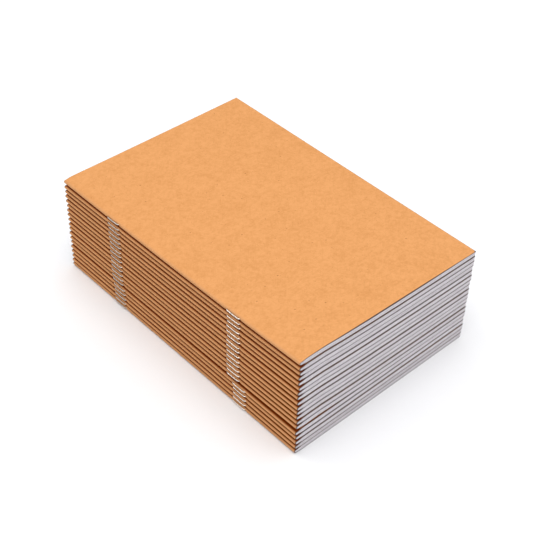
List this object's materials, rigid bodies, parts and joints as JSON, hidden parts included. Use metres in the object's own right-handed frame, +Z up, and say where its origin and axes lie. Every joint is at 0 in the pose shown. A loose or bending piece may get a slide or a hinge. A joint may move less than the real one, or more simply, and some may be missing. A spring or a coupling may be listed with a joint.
{
  "type": "pocket notebook",
  "caption": "Squared-up stack of pocket notebooks with plain kraft board covers, nested folded sheets and wire-stapled spines; the top one opens and each one lifts off.",
  "frame": {"origin": "middle of the stack's underside, on the surface that it stands on", "axes": "+Z up through the stack, +Y towards the heads of the notebooks, -X towards their spines and +X towards their fore-edges"},
  "size_m": [0.1028, 0.1522, 0.0503],
  "materials": {
    "kraft_board": "uncoated kraft board",
    "page_paper": "uncoated writing paper",
    "staple_wire": "bright galvanised wire"
  },
  "bodies": {
    "notebook_19": {"notebook_19_cover": "kraft_board", "notebook_19_pages": "page_paper", "notebook_19_staples": "staple_wire"},
    "notebook_18": {"notebook_18_cover": "kraft_board", "notebook_18_pages": "page_paper", "notebook_18_staples": "staple_wire"},
    "notebook_17": {"notebook_17_cover": "kraft_board", "notebook_17_pages": "page_paper", "notebook_17_staples": "staple_wire"},
    "notebook_16": {"notebook_16_cover": "kraft_board", "notebook_16_pages": "page_paper", "notebook_16_staples": "staple_wire"},
    "notebook_15": {"notebook_15_cover": "kraft_board", "notebook_15_pages": "page_paper", "notebook_15_staples": "staple_wire"},
    "notebook_14": {"notebook_14_cover": "kraft_board", "notebook_14_pages": "page_paper", "notebook_14_staples": "staple_wire"},
    "notebook_13": {"notebook_13_cover": "kraft_board", "notebook_13_pages": "page_paper", "notebook_13_staples": "staple_wire"},
    "notebook_12": {"notebook_12_cover": "kraft_board", "notebook_12_pages": "page_paper", "notebook_12_staples": "staple_wire"},
    "notebook_11": {"notebook_11_cover": "kraft_board", "notebook_11_pages": "page_paper", "notebook_11_staples": "staple_wire"},
    "notebook_10": {"notebook_10_cover": "kraft_board", "notebook_10_pages": "page_paper", "notebook_10_staples": "staple_wire"},
    "notebook_09": {"notebook_09_cover": "kraft_board", "notebook_09_pages": "page_paper", "notebook_09_staples": "staple_wire"},
    "notebook_08": {"notebook_08_cover": "kraft_board", "notebook_08_pages": "page_paper", "notebook_08_staples": "staple_wire"},
    "notebook_07": {"notebook_07_cover": "kraft_board", "notebook_07_pages": "page_paper", "notebook_07_staples": "staple_wire"},
    "notebook_06": {"notebook_06_cover": "kraft_board", "notebook_06_pages": "page_paper", "notebook_06_staples": "staple_wire"},
    "notebook_05": {"notebook_05_cover": "kraft_board", "notebook_05_pages": "page_paper", "notebook_05_staples": "staple_wire"},
    "notebook_04": {"notebook_04_cover": "kraft_board", "notebook_04_pages": "page_paper", "notebook_04_staples": "staple_wire"},
    "notebook_03": {"notebook_03_cover": "kraft_board", "notebook_03_pages": "page_paper", "notebook_03_staples": "staple_wire"},
    "notebook_02": {"notebook_02_cover": "kraft_board", "notebook_02_pages": "page_paper", "notebook_02_staples": "staple_wire"},
    "notebook_01": {"back_cover": "kraft_board", "back_leaves": "page_paper", "top_staples": "staple_wire"},
    "leaf_block": {"front_leaves": "page_paper"},
    "top_leaf": {"first_leaf": "page_paper"},
    "cover_flap": {"front_cover": "kraft_board"}
  },
  "joints": [
    {"name": "notebook_18_lift", "type": "slide", "parent": "notebook_19", "child": "notebook_18", "axis": [0, 0, 1], "range_m": [0, 0.02]},
    {"name": "notebook_17_lift", "type": "slide", "parent": "notebook_18", "child": "notebook_17", "axis": [0, 0, 1], "range_m": [0, 0.02]},
    {"name": "notebook_16_lift", "type": "slide", "parent": "notebook_17", "child": "notebook_16", "axis": [0, 0, 1], "range_m": [0, 0.02]},
    {"name": "notebook_15_lift", "type": "slide", "parent": "notebook_16", "child": "notebook_15", "axis": [0, 0, 1], "range_m": [0, 0.02]},
    {"name": "notebook_14_lift", "type": "slide", "parent": "notebook_15", "child": "notebook_14", "axis": [0, 0, 1], "range_m": [0, 0.02]},
    {"name": "notebook_13_lift", "type": "slide", "parent": "notebook_14", "child": "notebook_13", "axis": [0, 0, 1], "range_m": [0, 0.02]},
    {"name": "notebook_12_lift", "type": "slide", "parent": "notebook_13", "child": "notebook_12", "axis": [0, 0, 1], "range_m": [0, 0.02]},
    {"name": "notebook_11_lift", "type": "slide", "parent": "notebook_12", "child": "notebook_11", "axis": [0, 0, 1], "range_m": [0, 0.02]},
    {"name": "notebook_10_lift", "type": "slide", "parent": "notebook_11", "child": "notebook_10", "axis": [0, 0, 1], "range_m": [0, 0.02]},
    {"name": "notebook_09_lift", "type": "slide", "parent": "notebook_10", "child": "notebook_09", "axis": [0, 0, 1], "range_m": [0, 0.02]},
    {"name": "notebook_08_lift", "type": "slide", "parent": "notebook_09", "child": "notebook_08", "axis": [0, 0, 1], "range_m": [0, 0.02]},
    {"name": "notebook_07_lift", "type": "slide", "parent": "notebook_08", "child": "notebook_07", "axis": [0, 0, 1], "range_m": [0, 0.02]},
    {"name": "notebook_06_lift", "type": "slide", "parent": "notebook_07", "child": "notebook_06", "axis": [0, 0, 1], "range_m": [0, 0.02]},
    {"name": "notebook_05_lift", "type": "slide", "parent": "notebook_06", "child": "notebook_05", "axis": [0, 0, 1], "range_m": [0, 0.02]},
    {"name": "notebook_04_lift", "type": "slide", "parent": "notebook_05", "child": "notebook_04", "axis": [0, 0, 1], "range_m": [0, 0.02]},
    {"name": "notebook_03_lift", "type": "slide", "parent": "notebook_04", "child": "notebook_03", "axis": [0, 0, 1], "range_m": [0, 0.02]},
    {"name": "notebook_02_lift", "type": "slide", "parent": "notebook_03", "child": "notebook_02", "axis": [0, 0, 1], "range_m": [0, 0.02]},
    {"name": "notebook_01_lift", "type": "slide", "parent": "notebook_02", "child": "notebook_01", "axis": [0, 0, 1], "range_m": [0, 0.02]},
    {"name": "leaf_block_turn", "type": "hinge", "parent": "notebook_01", "child": "leaf_block", "pos_m": [-0.04937, 0, 0.05033], "axis": [0, -1, 0], "range_deg": [0, 179.99]},
    {"name": "top_leaf_turn", "type": "hinge", "parent": "leaf_block", "child": "top_leaf", "pos_m": [-0.04937, 0, 0.05033], "axis": [0, -1, 0], "range_deg": [0, 179.99]},
    {"name": "cover_turn", "type": "hinge", "parent": "top_leaf", "child": "cover_flap", "pos_m": [-0.04937, 0, 0.05033], "axis": [0, -1, 0], "range_deg": [0, 179.99]}
  ]
}
